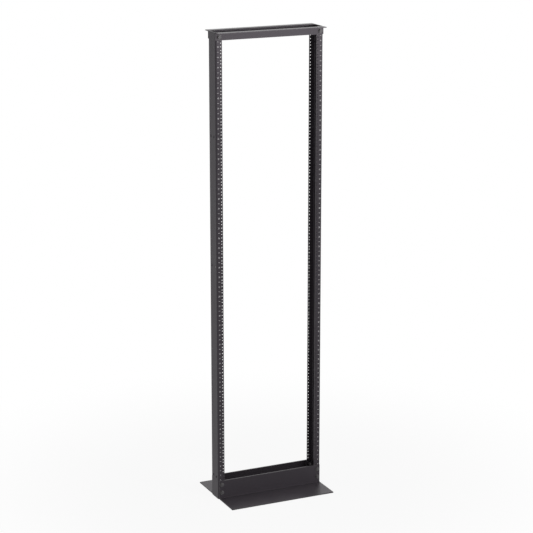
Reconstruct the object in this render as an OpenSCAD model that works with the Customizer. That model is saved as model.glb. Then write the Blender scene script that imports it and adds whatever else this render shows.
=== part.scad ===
// Two post open frame rack for 19 inch equipment. Two steel channels stand back to back
// across the equipment opening, with their webs outside and their flanges turned in. A pair
// of angles joins them at the floor and a lighter pair at the top, all held by hex bolts.
// Origin: centre of the footprint, on the floor. +X to the right, -Y to the front, +Z up.

/* [Uprights] */
// Height of the frame
frame_h = 2133.6; // [1600:0.1:2400]
// Clear width between the two uprights
opening_w = 453.9; // [400:0.1:600]
// Depth of each channel, front to back
channel_d = 76.2; // [60:0.1:150]
// Width of each flange, from the web's outer face to the free edge
flange_w = 31; // [29:0.1:40]
// Thickness of the channel's sheet
wall_t = 3.4; // [2:0.1:5]
// Inside radius of the channel's bends
bend_r = 3; // [1:0.1:4]

/* [Equipment holes] */
// Height of one rack unit
unit_h = 44.45; // [40:0.05:50]
// Gap between the base angle and the first rack unit
unit_gap = 3.6; // [0.5:0.1:20]
// Distance between the three holes of a unit
hole_pitch = 15.875; // [14:0.005:16]
// Diameter of an equipment hole
hole_d = 5.5; // [4:0.1:7]
// From a hole's centre to the flange's free edge
hole_edge = 5.6; // [5:0.1:8]

/* [Web holes] */
// Diameter of a web hole
web_hole_d = 11.1; // [6:0.1:14]
// Distance between the two holes of a pair
web_pair_pitch = 31.75; // [20:0.05:40]
// Height of the lowest pair above the floor
web_low_z = 101.6; // [60:0.1:300]
// Height of the middle pair above the floor
web_mid_z = 1092.2; // [400:0.1:1400]
// Distance of the upper pair below the top
web_top_drop = 457.2; // [60:0.1:460]

/* [Base angles] */
// Height of the leg that is bolted to the uprights
base_leg = 88.9; // [80:0.1:150]
// Reach of the leg that lies on the floor
base_foot = 148.9; // [80:0.1:250]
// Thickness of the base angle
base_t = 4.76; // [3:0.01:8]
// Inside radius of the base angle's bend
base_bend = 4.8; // [3:0.1:8]
// Height of the lower row of bolts
base_bolt_z = 31.75; // [30:0.05:35]
// Distance of the upper row of bolts below the leg's edge
base_bolt_edge = 19.05; // [15:0.05:20]
// Distance from each end of the base angle to the upright's outer face
base_inset = 3.45; // [0:0.05:4.5]

/* [Top angles] */
// Height of the leg that is bolted to the uprights
top_leg = 34.9; // [34:0.1:80]
// Reach of the leg that lies level at the top
top_foot = 34.9; // [25:0.1:80]
// Thickness of the top angle
top_t = 3.4; // [3:0.1:4.5]
// Inside radius of the top angle's bend
top_bend = 3; // [2:0.1:4]
// Distance of the bolts below the top
top_bolt_drop = 19.9; // [19:0.1:22]

/* [Bolts] */
// Diameter of a bolt's thread
bolt_d = 9.525; // [6:0.005:10]
// Width of a hex head or nut across its flats
hex_af = 14.29; // [12:0.01:16]
// Height of a hex head
head_h = 5.95; // [4:0.05:8]
// Height of a nut
nut_h = 8.33; // [6:0.01:10]
// Diameter of a washer
washer_d = 20.6; // [18:0.1:21]
// Thickness of a washer
washer_t = 1.65; // [1:0.05:3]
// Thread that stands past the nut
bolt_tail = 7.3; // [1:0.1:8]
// Clearance on diameter of a bolt in its hole
bolt_clear = 0.8; // [0.3:0.1:1.5]
// Clearance on diameter of a bolt in its nut
thread_clear = 0.1; // [0.05:0.01:0.3]

/* [Hidden] */
$fn = 48;

// Overall width, over the two webs
frame_w = opening_w + 2 * flange_w;
// Outside radius of the channel's bends
bend_out = bend_r + wall_t;
// Extra length of a cutting tool on each side
cut = 1;

// Rack units that fit between the base angle and the top angle
units = floor((frame_h - base_leg - unit_gap - top_leg) / unit_h);
first_unit_z = base_leg + unit_gap;
// The three holes sit in the middle of their unit
hole_start = unit_h / 2 - hole_pitch;
hole_zs = [for (u = [0:units - 1]) for (k = [0:2]) first_unit_z + u * unit_h + hole_start + k * hole_pitch];
web_zs = [web_low_z, web_mid_z, frame_h - web_top_drop];

// The frame bolts stand in the middle of the flanges
bolt_in = flange_w / 2;
bolt_x = frame_w / 2 - bolt_in;
bolt_hole_d = bolt_d + bolt_clear;
base_bolt_zs = [base_bolt_z, base_leg - base_bolt_edge];
top_bolt_zs = [frame_h - top_bolt_drop];

// Hex shapes: the chamfer leaves a flat circle a little smaller than the flats
hex_flat_r = 0.475 * hex_af;
chamfer_angle = 30;
// Raised ring under a head, and the lead-in at a bolt's tip
seat_h = 0.4;
tip_chamfer = 1.2;

// Every bolted joint: name, side, face, height, thickness of its angle, turn of its hexagons
SIDES = [["left", -1], ["right", 1]];
FACES = [["front", -1], ["rear", 1]];
LEVELS = [
    ["top", top_bolt_zs[0], top_t, 9],
    ["base_upper", base_bolt_zs[1], base_t, 41],
    ["base_lower", base_bolt_zs[0], base_t, 24],
];
JOINTS = [for (f = FACES) for (s = SIDES) for (l = LEVELS)
    [str(f[0], "_", s[0], "_", l[0]), s[1], f[1], l[1], l[2], l[3] + 13 * s[1] + 7 * f[1]]];

// ---- Profiles ----

// Rectangle from the origin to [w, h] with its corner at the origin rounded
module round_corner_2d(w, h, r) {
    translate([r, 0]) square([w - r, h]);
    translate([0, r]) square([w, h - r]);
    translate([r, r]) circle(r);
}

// Angle section: one leg along +X, the other along +Y, bent at the origin
module angle_2d(foot, leg, t, bend) {
    difference() {
        round_corner_2d(foot, leg, bend + t);
        translate([t, t]) round_corner_2d(foot, leg, bend);
    }
}

// Channel section: web on X = 0, flanges along +X, centred on Y = 0
module channel_2d() {
    for (m = [0, 1]) mirror([0, m])
        translate([0, -channel_d / 2]) angle_2d(flange_w, channel_d / 2, wall_t, bend_r);
}

// ---- Uprights ----

// A round cutter along Y, at [x, z], long enough for both flanges
module flange_cut(x, z, d) {
    translate([x, channel_d / 2 + cut, z]) rotate([90, 0, 0])
        cylinder(h = channel_d + 2 * cut, d = d);
}

// One upright with its web's outer face on X = 0 and its open side towards +X
module upright() {
    difference() {
        linear_extrude(frame_h) channel_2d();
        for (z = hole_zs) flange_cut(flange_w - hole_edge, z, hole_d);
        for (z = concat(base_bolt_zs, top_bolt_zs)) flange_cut(bolt_in, z, bolt_hole_d);
        for (z = web_zs) for (s = [-1, 1])
            translate([-cut, s * web_pair_pitch / 2, z]) rotate([0, 90, 0])
                cylinder(h = wall_t + 2 * cut, d = web_hole_d);
    }
}

module left_upright() {
    color([0.17, 0.16, 0.17]) translate([-frame_w / 2, 0, 0]) upright();
}

module right_upright() {
    color([0.17, 0.16, 0.17]) mirror([1, 0, 0]) translate([-frame_w / 2, 0, 0]) upright();
}

// ---- Angles ----

// A length of angle along X with its back on the channels' rear faces and its foot reaching
// out along +Y; bolt holes stand at each height in bolt_zs, measured from the foot's face
module cross_angle(length, foot, leg, t, bend, bolt_zs) {
    translate([0, channel_d / 2, 0]) difference() {
        translate([-length / 2, 0, 0]) rotate([90, 0, 90])
            linear_extrude(length) angle_2d(foot, leg, t, bend);
        for (s = [-1, 1]) for (z = bolt_zs)
            translate([s * bolt_x, t + cut, z]) rotate([90, 0, 0])
                cylinder(h = t + 2 * cut, d = bolt_hole_d);
    }
}

module base_angle() {
    color([0.16, 0.15, 0.16])
        cross_angle(frame_w - 2 * base_inset, base_foot, base_leg, base_t, base_bend, base_bolt_zs);
}

// The top angle is turned over, so that its foot is level with the top of the uprights
module top_angle() {
    color([0.19, 0.18, 0.19]) translate([0, 0, frame_h]) mirror([0, 0, 1])
        cross_angle(frame_w, top_foot, top_leg, top_t, top_bend, [top_bolt_drop]);
}

module rear_base_angle() base_angle();
module front_base_angle() mirror([0, 1, 0]) base_angle();
module rear_top_angle() top_angle();
module front_top_angle() mirror([0, 1, 0]) top_angle();

// ---- Bolts, washers and nuts ----

// Moves a piece from its own axis, Z = 0 at the angle's outer face and +Z outwards, to joint j
module at_joint(j) {
    translate([j[1] * bolt_x, j[2] * (channel_d / 2 + j[4]), j[3]])
        rotate([-90 * j[2], 0, 0]) rotate([0, 0, j[5]]) children();
}

// A cone that trims the hexagon's corners on the side towards +Z
module hex_chamfer(h) {
    cylinder(h = h, r1 = hex_flat_r + h / tan(chamfer_angle), r2 = hex_flat_r);
}

module hex_prism(h) {
    cylinder(h = h, d = hex_af / cos(30), $fn = 6);
}

// Hex bolt: its head seats on the washer and its shank runs through angle and flange
module bolt(j) {
    shank = washer_t + j[4] + wall_t + nut_h + bolt_tail;
    color([0.33, 0.33, 0.35]) at_joint(j) translate([0, 0, washer_t]) {
        cylinder(h = seat_h, r = hex_flat_r);
        translate([0, 0, seat_h]) intersection() {
            hex_prism(head_h - seat_h);
            hex_chamfer(head_h - seat_h);
        }
        translate([0, 0, tip_chamfer - shank]) cylinder(h = shank - tip_chamfer, d = bolt_d);
        translate([0, 0, -shank])
            cylinder(h = tip_chamfer, d1 = bolt_d - 2 * tip_chamfer, d2 = bolt_d);
    }
}

// Flat washer between the bolt's head and the angle
module washer(j) {
    color([0.36, 0.36, 0.38]) at_joint(j) difference() {
        cylinder(h = washer_t, d = washer_d);
        translate([0, 0, -cut]) cylinder(h = washer_t + 2 * cut, d = bolt_hole_d);
    }
}

// Hex nut against the inside of the flange, chamfered on both faces
module nut(j) {
    color([0.33, 0.33, 0.35]) at_joint(j) translate([0, 0, -j[4] - wall_t - nut_h]) difference() {
        intersection() {
            hex_prism(nut_h);
            hex_chamfer(nut_h);
            translate([0, 0, nut_h]) mirror([0, 0, 1]) hex_chamfer(nut_h);
        }
        translate([0, 0, -cut]) cylinder(h = nut_h + 2 * cut, d = bolt_d + thread_clear);
    }
}

left_upright();
right_upright();
front_base_angle();
rear_base_angle();
front_top_angle();
rear_top_angle();
for (j = JOINTS) bolt(j);
for (j = JOINTS) washer(j);
for (j = JOINTS) nut(j);
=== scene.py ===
import bmesh
import bpy
import math
import numpy as np
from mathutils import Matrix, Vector


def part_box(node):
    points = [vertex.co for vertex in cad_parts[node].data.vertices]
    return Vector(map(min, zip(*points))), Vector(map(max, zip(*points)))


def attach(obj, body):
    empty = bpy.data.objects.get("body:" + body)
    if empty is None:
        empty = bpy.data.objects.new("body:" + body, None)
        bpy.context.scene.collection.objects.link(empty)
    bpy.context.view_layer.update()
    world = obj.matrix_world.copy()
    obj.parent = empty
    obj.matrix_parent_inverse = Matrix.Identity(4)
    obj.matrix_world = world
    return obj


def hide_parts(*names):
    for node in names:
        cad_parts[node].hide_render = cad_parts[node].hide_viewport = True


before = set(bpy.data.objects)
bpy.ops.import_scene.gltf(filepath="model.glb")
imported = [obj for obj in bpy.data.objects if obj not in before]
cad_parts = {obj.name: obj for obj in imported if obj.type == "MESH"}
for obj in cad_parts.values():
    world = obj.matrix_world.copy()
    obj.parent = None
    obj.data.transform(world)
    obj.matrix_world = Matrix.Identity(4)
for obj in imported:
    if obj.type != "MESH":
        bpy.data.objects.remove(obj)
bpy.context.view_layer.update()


# ---- Uprights ----
# Two channels, roll formed from 3.4 mm steel sheet, with their flanges turned in towards the
# equipment. Holes for panel screws run up every flange, three to a rack unit, and are tapped.
# The sheet is coated with satin black powder after it is punched.

class Wire:
    """An output of a node in one material. Arithmetic on wires and numbers adds Math nodes,
    and make() adds any other node."""

    def __init__(self, tree, socket=None):
        self.tree, self.socket = tree, socket

    def make(self, kind, settings=None, inputs=None, out=0):
        """Adds a node: its settings first, then the values or wires of its sockets. Gives
        the wire of the output asked for."""
        node = self.tree.nodes.new(kind)
        for name, value in (settings or {}).items():
            setattr(node, name, value)
        for name, value in (inputs or {}).items():
            if isinstance(value, Wire):
                self.tree.links.new(value.socket, node.inputs[name])
            else:
                node.inputs[name].default_value = value
        return Wire(self.tree, node.outputs[out]) if node.outputs else None

    def math(self, operation, *values, clamp=False):
        """Adds a Math node that works on the values given."""
        return self.make("ShaderNodeMath", {"operation": operation, "use_clamp": clamp},
                         dict(enumerate(values)))

    def __add__(self, other): return self.math("ADD", self, other)
    def __radd__(self, other): return self.math("ADD", other, self)
    def __sub__(self, other): return self.math("SUBTRACT", self, other)
    def __rsub__(self, other): return self.math("SUBTRACT", other, self)
    def __mul__(self, other): return self.math("MULTIPLY", self, other)
    def __rmul__(self, other): return self.math("MULTIPLY", other, self)
    def __truediv__(self, other): return self.math("DIVIDE", self, other)
    def __rtruediv__(self, other): return self.math("DIVIDE", other, self)
    def __abs__(self): return self.math("ABSOLUTE", self)

    def least(self, *others):
        """The smallest of this value and the others."""
        best = self
        for other in others:
            best = self.math("MINIMUM", best, other)
        return best

    def clamped(self):
        """This value held between 0 and 1."""
        return self.math("ADD", self, 0.0, clamp=True)

    def under(self, edge, soft):
        """1 where this value is below edge, falling smoothly to 0 over the width soft."""
        return self.make("ShaderNodeMapRange", {"interpolation_type": "SMOOTHSTEP"},
                         {0: self, 1: edge, 2: edge + soft, 3: 1.0, 4: 0.0})

    def noise(self, scale, detail=2.0, rough=0.5):
        """Cloudy noise over this place, about scale blobs to a metre."""
        return self.make("ShaderNodeTexNoise", {},
                         {"Vector": self, "Scale": scale, "Detail": detail, "Roughness": rough})

    def blend(self, low, high):
        """Colour that goes from low to high as this value goes from 0 to 1."""
        return self.make("ShaderNodeMix", {"data_type": "RGBA"}, {0: self, 6: low, 7: high}, 2)


def finish(name, shade):
    """A material whose surface comes from shade(place, x, y, z), where place is the point on
    the object in metres. It gives the values or wires of the shader's sockets."""
    material = bpy.data.materials.new(name)
    material.use_nodes = True
    tree = material.node_tree
    tree.nodes.clear()
    place = Wire(tree).make("ShaderNodeTexCoord", out="Object")
    x = place.make("ShaderNodeSeparateXYZ", {}, {0: place})
    y, z = (Wire(tree, x.socket.node.outputs[i]) for i in (1, 2))
    surface = place.make("ShaderNodeBsdfPrincipled", {}, shade(place, x, y, z))
    place.make("ShaderNodeOutputMaterial", {}, {"Surface": surface})
    return material


def dress(material, *nodes):
    """Puts a finish on CAD nodes through their material slots."""
    for node in nodes:
        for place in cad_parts[node].material_slots:
            place.material = material


rub_grey = (0.120, 0.115, 0.118, 1.0)


def powder(place, colour, rubbed, chips):
    """Satin powder coat. Its colour drifts by a seventh, its height is the fine ripple left
    as the powder flowed out plus a finer grain, and where the mask rubbed is 1 the noise of
    size chips breaks it into paler, smoother rubs."""
    drift = place.noise(5.0, 3.0)
    ripple = place.noise(620.0, 2.0, 0.6)
    grain = place.noise(2400.0, 1.0)
    rub = (rubbed * (place.noise(chips, 4.0, 0.65) * 2.6 - 0.8)).clamped()
    darker, paler = ([c * part for c in colour] + [1.0] for part in (0.86, 1.14))
    base = drift.blend(darker, paler)
    return {
        "Base Color": (rub * 0.5).blend(base, rub_grey),
        "Roughness": 0.27 + drift * 0.08 + grain * 0.05 - rub * 0.05,
        "Specular Tint": (0.92, 0.84, 0.93, 1.0),
        "Normal": place.make("ShaderNodeBump", {}, {
            "Strength": 0.35, "Distance": 0.00006, "Height": ripple * 0.7 + grain * 0.3}),
    }


(flange_edge, _, _), (half_width, half_depth, top_z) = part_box("right_upright")
sheet = 0.0034
unit = 0.04445            # height of one rack unit
units = 45
first_unit_z = 0.0925     # where the first unit starts
hole_x = 0.23255          # from the middle of the frame to a column of equipment holes
hole_pitch = 0.015875     # between the three holes of one unit
hole_radius = 0.00275
thread_pitch = 0.00106
coat_black = (0.034, 0.0295, 0.035)
tap_grey = (0.105, 0.100, 0.100, 1.0)


def upright_surface(place, x, y, z):
    """Powder coat, rubbed along the flanges' free edges and the sheared ends, with bare
    tapped threads on the walls of the equipment holes: rings one pitch apart through the
    sheet, found by their distance from the nearest hole's axis."""
    side = abs(x)
    ends = z.least(top_z - z)
    rubbed = (side - flange_edge).under(0.0004, 0.0022) + ends.under(0.0005, 0.0020)
    skin = powder(place, coat_black, rubbed.clamped(), 90.0)
    from_middle = abs(z.math("PINGPONG", z - first_unit_z, unit / 2) - unit / 2)
    up = from_middle.least(abs(from_middle - hole_pitch))
    across = side - hole_x
    out = (across * across + up * up).math("SQRT", across * across + up * up)
    holes = out.under(hole_radius + 0.00002, 0.00005)
    holes = holes * (first_unit_z - z).under(0.0, 0.001)
    thread = y.math("PINGPONG", y, thread_pitch / 2) / (thread_pitch / 2)
    skin["Base Color"] = holes.blend(skin["Base Color"], tap_grey)
    skin["Metallic"] = holes * 0.8
    skin["Roughness"] = skin["Roughness"] - holes * 0.08
    skin["Normal"] = place.make("ShaderNodeBump", {}, {
        "Strength": 0.8, "Distance": 0.00045, "Height": thread * holes,
        "Normal": skin["Normal"]})
    return skin


upright_finish = finish("black_powder_on_uprights", upright_surface)
dress(upright_finish, "left_upright", "right_upright")


# ---- Tapped threads ----
# The equipment holes are tapped for panel screws, so each has three turns of thread inside
# the sheet. The ridges stand in from the bore and narrow it.

ridge_radius = 0.00228
liner_spokes = 9
liner_rings = 7


def thread_liner():
    """One tapped hole along y from 0 to the sheet's thickness, as points and faces. The
    radius is the bore less the ridge times a triangular wave of depth over pitch less angle
    over a full turn, so that the ridge climbs as a helix. It is the bore at both faces."""
    around = np.linspace(0, 2 * np.pi, liner_spokes, endpoint=False)
    depth = np.linspace(0, sheet, liner_rings)[:, None] * np.ones_like(around)
    wave = np.abs((depth / thread_pitch - around / (2 * np.pi)) % 1.0 * 2 - 1)
    radius = hole_radius - (hole_radius - ridge_radius) * wave
    radius[0] = radius[-1] = hole_radius
    points = np.stack([radius * np.cos(around), depth, radius * np.sin(around)], axis=-1)
    index = np.arange(liner_rings * liner_spokes).reshape(liner_rings, liner_spokes)
    a, b = index[:-1], index[1:]
    quads = np.stack([a, np.roll(a, -1, 1), np.roll(b, -1, 1), b], axis=-1)
    return points.reshape(-1, 3), quads.reshape(-1, 4).tolist()


def join(name, pieces):
    """One object from many lists of points and faces, joined end to end."""
    points, faces, count = [], [], 0
    for shape, rings in pieces:
        points.append(shape)
        faces.extend([tuple(count + i for i in ring) for ring in rings])
        count += len(shape)
    mesh = bpy.data.meshes.new(name)
    mesh.from_pydata(np.concatenate(points).tolist(), [], faces)
    mesh.validate()
    item = bpy.data.objects.new(name, mesh)
    bpy.context.scene.collection.objects.link(item)
    return item


def thread_surface(place, x, y, z):
    """Dark oily steel left by the tap, streaked around the thread."""
    streak = place.noise(1900.0, 3.0, 0.6)
    return {
        "Base Color": streak.blend((0.055, 0.052, 0.053, 1.0), (0.12, 0.115, 0.115, 1.0)),
        "Metallic": 0.8,
        "Roughness": 0.38 + streak * 0.15,
        "Normal": place.make("ShaderNodeBump", {}, {
            "Strength": 0.3, "Distance": 0.00003, "Height": streak}),
    }


threads = finish("tapped_steel", thread_surface)
liner, liner_faces = thread_liner()
for face_name, start in (("front", -half_depth), ("rear", half_depth - sheet)):
    liners = []
    for side in (-1, 1):
        for step in range(units):
            for k in (-1, 0, 1):
                hole_z = first_unit_z + step * unit + unit / 2 + k * hole_pitch
                liners.append((liner + (side * hole_x, start, hole_z), liner_faces))
    tapped = join(f"{face_name}_tapped_threads", liners)
    tapped.data.materials.append(threads)
    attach(tapped, "root")


# ---- Printed scales ----
# Every flange carries a printed scale, so that panels can be set at the same height on all
# four: a short line where one rack unit meets the next, and the unit's number between the
# lines, counted from the floor. It is pale ink, screen printed on the powder coat.

scale_inset = 0.0113      # from the frame's side to the middle of the scale
figure_height = 0.0064
figure_width = 0.0036     # from one figure of a number to the next
line_length = 0.0066
line_height = 0.0014
ink_thickness = 0.00005


def figures():
    """The digits 0 to 9 as thin solids, each a list of points and faces. A digit is set in a
    plain sans face, made a mesh, centred and scaled to the figures' height."""
    shapes = []
    for digit in "0123456789":
        curve = bpy.data.curves.new("digit", "FONT")
        curve.body, curve.extrude, curve.resolution_u = digit, 0.01, 3
        holder = bpy.data.objects.new("digit", curve)
        bpy.context.scene.collection.objects.link(holder)
        bpy.context.view_layer.update()
        mesh = bpy.data.meshes.new_from_object(
            holder.evaluated_get(bpy.context.evaluated_depsgraph_get()))
        points = np.empty(len(mesh.vertices) * 3)
        mesh.vertices.foreach_get("co", points)
        points = points.reshape(-1, 3)
        faces = [tuple(face.vertices) for face in mesh.polygons]
        low, high = points.min(axis=0), points.max(axis=0)
        middle = (low + high) / 2
        points = (points - middle) / (high - low)[1] * figure_height
        points[:, 2] *= ink_thickness / max(np.ptp(points[:, 2]), 1e-9)
        shapes.append((points, faces))
        bpy.data.objects.remove(holder)
        bpy.data.meshes.remove(mesh)
        bpy.data.curves.remove(curve)
    return shapes


def bar(length, height):
    """A thin box for a printed line: the eight corners of a block centred on the origin."""
    signs = np.array([[i, j, k] for i in (-1, 1) for j in (-1, 1) for k in (-1, 1)]) / 2
    faces = [(0, 1, 3, 2), (4, 6, 7, 5), (0, 4, 5, 1), (2, 3, 7, 6), (0, 2, 6, 4), (1, 5, 7, 3)]
    return signs * (length, height, ink_thickness), faces


def ink_surface(place, x, y, z):
    """Pale ink, a little thin in places, so that the black shows through as grey."""
    thin = place.noise(1500.0, 3.0, 0.6)
    return {
        "Base Color": thin.blend((0.64, 0.63, 0.64, 1.0), (0.86, 0.85, 0.85, 1.0)),
        "Roughness": 0.45 + thin * 0.15,
        "Normal": place.make("ShaderNodeBump", {}, {
            "Strength": 0.3, "Distance": 0.00003, "Height": thin}),
    }


ink = finish("pale_ink", ink_surface)
digits = figures()
for face_name, face_sign in (("front", -1), ("rear", 1)):
    for side_name, side_sign in (("left", -1), ("right", 1)):
        marks = []
        for step in range(units + 1):
            marks.append((bar(line_length, line_height), 0.0, first_unit_z + step * unit))
        for step in range(units):
            text, middle_z = str(step + 1), first_unit_z + (step + 0.5) * unit
            for i, character in enumerate(text):
                shift = (i - (len(text) - 1) / 2) * figure_width
                marks.append((digits[int(character)], shift, middle_z))
        placed = []
        for (shape, rings), shift, height in marks:
            # x runs to the reader's right, y up, and z out of the flange towards the reader
            local = shape + (shift, 0.0, 0.0)
            world = np.stack([
                side_sign * (half_width - scale_inset) - face_sign * local[:, 0],
                face_sign * (half_depth + ink_thickness / 2 + local[:, 2]),
                height + local[:, 1]], axis=1)
            placed.append((world, rings))
        scale = join(f"{face_name}_{side_name}_scale", placed)
        scale.data.materials.append(ink)
        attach(scale, "root")


# ---- Base angles ----
# Two heavy angles folded from 4.76 mm plate. The tall legs are bolted across the front and
# the rear of the uprights, and the wide legs lie on the floor as the frame's feet.

base_reach = 0.187        # from the middle of the frame to a foot's outer edge
base_half_length = 0.2545
base_leg = 0.0889
plate = 0.00476
fold_y, fold_z = 0.0481, 0.0098     # where the inside of the fold ends on either leg
dust_grey = (0.16, 0.155, 0.15, 1.0)


def base_surface(place, x, y, z):
    """Powder coat rubbed along the plate's outer edges and the leg's upper edge, with a
    little settled dust where the plate lies level and a matt skin in the fold, where the
    powder lies thick."""
    reach = base_reach - abs(y)
    ends = base_half_length - abs(x)
    crest = base_leg - z
    rubbed = reach.least(ends, crest).under(0.0005, 0.0030)
    skin = powder(place, coat_black, rubbed, 70.0)
    level = abs(z - plate).under(0.0002, 0.0004)
    dust = (level * (place.noise(14.0, 5.0, 0.6) - 0.35)).clamped()
    skin["Base Color"] = (dust * 0.18).blend(skin["Base Color"], dust_grey)
    fold = (abs(y) - fold_y).under(0.0, 0.0015) * (z - fold_z).under(0.0, 0.0015)
    skin["Roughness"] = skin["Roughness"] + dust * 0.15 + fold * 0.5
    return skin


dress(finish("black_powder_on_base", base_surface), "front_base_angle", "rear_base_angle")


# ---- Top angles ----
# Two lighter angles folded from 3.4 mm sheet join the tops of the uprights. Their level legs
# reach outwards, flush with the top. Both are plain powder coat with nothing printed on them.

top_reach = 0.073         # from the middle of the frame to a level leg's outer edge
top_leg = 0.0349


def top_surface(place, x, y, z):
    """Powder coat rubbed along the level leg's outer edge and the lower edge."""
    reach = top_reach - abs(y)
    ends = half_width - abs(x)
    hem = z - (top_z - top_leg)
    rubbed = reach.least(ends, hem).under(0.0004, 0.0026)
    return powder(place, coat_black, rubbed, 80.0)


dress(finish("black_powder_on_top", top_surface), "front_top_angle", "rear_top_angle")


# ---- Bolts, washers and nuts ----
# Twelve 3/8 inch hex bolts hold the angles to the flanges, each with a flat washer under its
# head and a hex nut inside the channel. They are steel with a black conversion finish, which
# is thin, so corners and rims that a spanner touched show paler metal.

joint_levels = (0.03175, 0.06985, 2.1137)
joint_x = 0.24245         # from the middle of the frame to a bolt's axis
thread_radius = 0.0047625
thread_length = 0.0168
thread_depth = 0.00078
bolt_pitch = 0.0015875
tip_length = 0.0012
head_flats = 0.01429
head_height = 0.00595
seat_height = 0.0004
seat_radius = 0.475 * head_flats
corner_radius = 0.0082    # from the axis to the head's worn corners
rim_radius = 0.0103       # from the axis to the washer's worn rim
bolt_spokes = 48


def fastener_surface(place, x, y, z):
    """Thin black finish over steel. It is worn at the hexagon's corners and the washer's
    rim, by their distance from the bolt's axis, and drifts in colour from piece to piece."""
    across = abs(x) - joint_x
    first, *others = (abs(z - level) for level in joint_levels)
    up = first.least(*others)
    out = across.math("SQRT", across * across + up * up)
    corner = abs(out - corner_radius).under(0.0003, 0.0006)
    rim = abs(out - rim_radius).under(0.0002, 0.0004)
    patch = place.noise(700.0, 4.0, 0.6)
    rub = ((corner + rim) * (patch * 2.4 - 0.7)).clamped()
    batch = place.noise(22.0, 1.0)
    base = batch.blend((0.085, 0.080, 0.085, 1.0), (0.115, 0.110, 0.115, 1.0))
    return {
        "Base Color": (rub * 0.7).blend(base, (0.30, 0.29, 0.28, 1.0)),
        "Metallic": 0.35 + rub * 0.5,
        "Roughness": 0.34 + patch * 0.12 - rub * 0.06,
        "Normal": place.make("ShaderNodeBump", {}, {
            "Strength": 0.4, "Distance": 0.00005, "Height": patch}),
    }


def turned(profile, around):
    """Points and faces of a surface on a grid: each ring of the profile has one radius and
    height for every angle in around, and rings are joined by four-sided faces. The first
    and last rings close on the axis."""
    radius, height = profile
    rings, spokes = radius.shape
    points = np.stack([radius * np.cos(around), radius * np.sin(around), height], axis=-1)
    index = np.arange(rings * spokes).reshape(rings, spokes)
    a, b = index[:-1], index[1:]
    quads = np.stack([a, np.roll(a, -1, 1), np.roll(b, -1, 1), b], axis=-1).reshape(-1, 4)
    return points.reshape(-1, 3), [tuple(q) for q in quads.tolist()]


def bolt_shape(length):
    """A hex bolt along z, with z = 0 under its head and the head upwards. Going from the tip
    to the crown, the rings are the chamfered tip, a thread whose radius is the outer radius
    less a triangular wave of height over pitch and angle, the round seat, the hexagon, whose
    radius is the flats' distance over the cosine of the angle from the nearest flat, and a
    thirty degree chamfer down from the flat crown."""
    around = np.linspace(0, 2 * np.pi, bolt_spokes, endpoint=False)
    flat = (around + np.pi / 6) % (np.pi / 3) - np.pi / 6
    hexagon = head_flats / 2 / np.cos(flat)
    steps = np.arange(-length, -length + thread_length, bolt_pitch / 6)[:, None]
    wave = np.abs((steps / bolt_pitch - around / (2 * np.pi)) % 1.0 * 2 - 1)
    thread = thread_radius - thread_depth * wave
    cone = thread_radius - tip_length + (steps + length)
    thread = np.minimum(thread, cone)
    whole = np.ones_like(around)[None, :]
    shoulder = head_height - (hexagon - seat_radius) * math.tan(math.pi / 6)
    radius = np.concatenate([
        0 * whole, thread, thread_radius * whole, thread_radius * whole, seat_radius * whole,
        seat_radius * whole, hexagon[None], hexagon[None], seat_radius * whole, 0 * whole])
    height = np.concatenate([
        -length * whole, steps * whole, (steps[-1] + bolt_pitch / 3) * whole, 0 * whole,
        0 * whole, seat_height * whole, seat_height * whole, shoulder[None],
        head_height * whole, head_height * whole])
    return turned((radius, height), around)


def weld(item):
    """Merges the points that fall together on the axis and turns the faces outwards."""
    work = bmesh.new()
    work.from_mesh(item.data)
    bmesh.ops.remove_doubles(work, verts=work.verts, dist=1e-7)
    bmesh.ops.recalc_face_normals(work, faces=work.faces)
    work.to_mesh(item.data)
    work.free()


fastener = finish("black_finish_on_fasteners", fastener_surface)
turns = {"top": 9, "base_upper": 41, "base_lower": 24}     # degrees each head is left at
for face_name, face_sign in (("front", -1), ("rear", 1)):
    for side_name, side_sign in (("left", -1), ("right", 1)):
        for level in turns:
            joint = f"{face_name}_{side_name}_{level}"
            dress(fastener, f"{joint}_washer", f"{joint}_nut")
            low, high = (np.array(corner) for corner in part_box(f"{joint}_washer"))
            centre = (low + high) / 2
            seat = (low[1], high[1])[face_sign > 0]
            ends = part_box(f"{joint}_bolt")
            length = abs(seat - (ends[0][1], ends[1][1])[face_sign < 0])
            points, rings = bolt_shape(length)
            turn = math.radians(turns[level] + 13 * side_sign + 7 * face_sign)
            turned_x = points[:, 0] * math.cos(turn) - points[:, 1] * math.sin(turn)
            turned_y = points[:, 0] * math.sin(turn) + points[:, 1] * math.cos(turn)
            world = np.stack([
                centre[0] + turned_x, seat + face_sign * points[:, 2],
                centre[2] - face_sign * turned_y], axis=1)
            bolt = join(f"{joint}_threaded_bolt", [(world, rings)])
            weld(bolt)
            bolt.data.materials.append(fastener)
            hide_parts(f"{joint}_bolt")
            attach(bolt, "root")


# ---- Floor and light ----
# A plain white floor, a large soft lamp to the upper right of the front and an even pale
# surround. The floor runs into the white surround a few metres out.

floor_radius = 60.0
floor_z = -0.0005         # just under the feet
floor_white = (0.80, 0.80, 0.80, 1.0)
mirrored_floor = 0.55     # how bright the floor is in a reflection
surround_light = 0.5      # how strongly the white surround lights the frame
lamp_power = 61.0


def floor_disc(rings=24, spokes=96):
    """A flat disc: rings whose radius grows with the square of their number."""
    around = np.linspace(0, 2 * np.pi, spokes, endpoint=False)
    reach = floor_radius * np.linspace(0, 1, rings)[:, None] ** 2 * np.ones((1, spokes))
    return turned((reach, np.full_like(reach, floor_z)), around)


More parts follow.
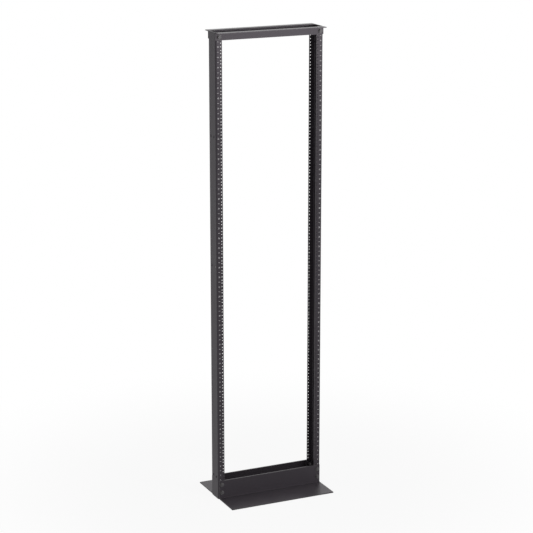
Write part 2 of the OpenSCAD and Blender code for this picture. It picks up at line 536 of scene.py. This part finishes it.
floor = join("floor", [floor_disc()])
weld(floor)
floor_material = bpy.data.materials.new("white_floor")
floor_material.use_nodes = True
floor_material.node_tree.nodes.clear()
spot = Wire(floor_material.node_tree).make("ShaderNodeTexCoord", out="Object")
away = spot.make("ShaderNodeVectorMath", {"operation": "LENGTH"}, {0: spot}, "Value")
seen = spot.make("ShaderNodeLightPath", out="Is Camera Ray")
mirrored = seen.math("MAXIMUM", spot.make("ShaderNodeLightPath", out="Is Glossy Ray"),
                     spot.make("ShaderNodeLightPath", out="Is Transmission Ray"))
paper = spot.make("ShaderNodeBsdfDiffuse", {}, {"Color": floor_white})
glow = spot.make("ShaderNodeEmission", {}, {
    "Color": (1, 1, 1, 1), "Strength": seen + mirrored * mirrored_floor})
far = 1.0 - away.under(0.5, 1.4)
share = (far * 0.1 + 0.9) * (seen + mirrored)
mixed = spot.make("ShaderNodeMixShader", {}, {0: share, 1: paper, 2: glow})
spot.make("ShaderNodeOutputMaterial", {}, {"Surface": mixed})
floor.data.materials.append(floor_material)

lamp = bpy.data.lights.new("soft_lamp", "AREA")
lamp.shape, lamp.size, lamp.size_y = "RECTANGLE", 1.8, 0.9
lamp.energy = lamp_power
lamp_holder = bpy.data.objects.new("soft_lamp", lamp)
lamp_holder.location = (2.0, -4.2, 2.3)
aim = Vector((0.0, 0.0, 1.5)) - lamp_holder.location
lamp_holder.rotation_euler = aim.to_track_quat("-Z", "Y").to_euler()
bpy.context.scene.collection.objects.link(lamp_holder)

world = bpy.data.worlds.new("surround")
bpy.context.scene.world = world
world.use_nodes = True
world.node_tree.nodes.clear()
ray = Wire(world.node_tree).make("ShaderNodeLightPath", out="Is Camera Ray")
for kind in ("Is Glossy Ray", "Is Transmission Ray"):
    ray = ray.math("MAXIMUM", ray, ray.make("ShaderNodeLightPath", out=kind))
surround = ray.make("ShaderNodeBackground", {}, {
    "Color": (1, 1, 1, 1), "Strength": ray * (1.0 - surround_light) + surround_light})
ray.make("ShaderNodeOutputWorld", {}, {"Surface": surround})


# ---- Camera ----
# Stands to the left of the front, 3.2 m above the floor, and looks down at the frame.

view = bpy.data.cameras.new("camera")
view.sensor_width = 36.0
view.lens = 126.85711
view_holder = bpy.data.objects.new("camera", view)
view_holder.location = (-3.44153, -7.41008, 3.20225)
tilt, swing = 0.256268, 0.434966     # downwards and to the right, in radians
view_holder.rotation_euler = (math.pi / 2 - tilt, 0.0, -swing)
bpy.context.scene.collection.objects.link(view_holder)
bpy.context.scene.camera = view_holder
bpy.context.scene.view_settings.view_transform = "Standard"
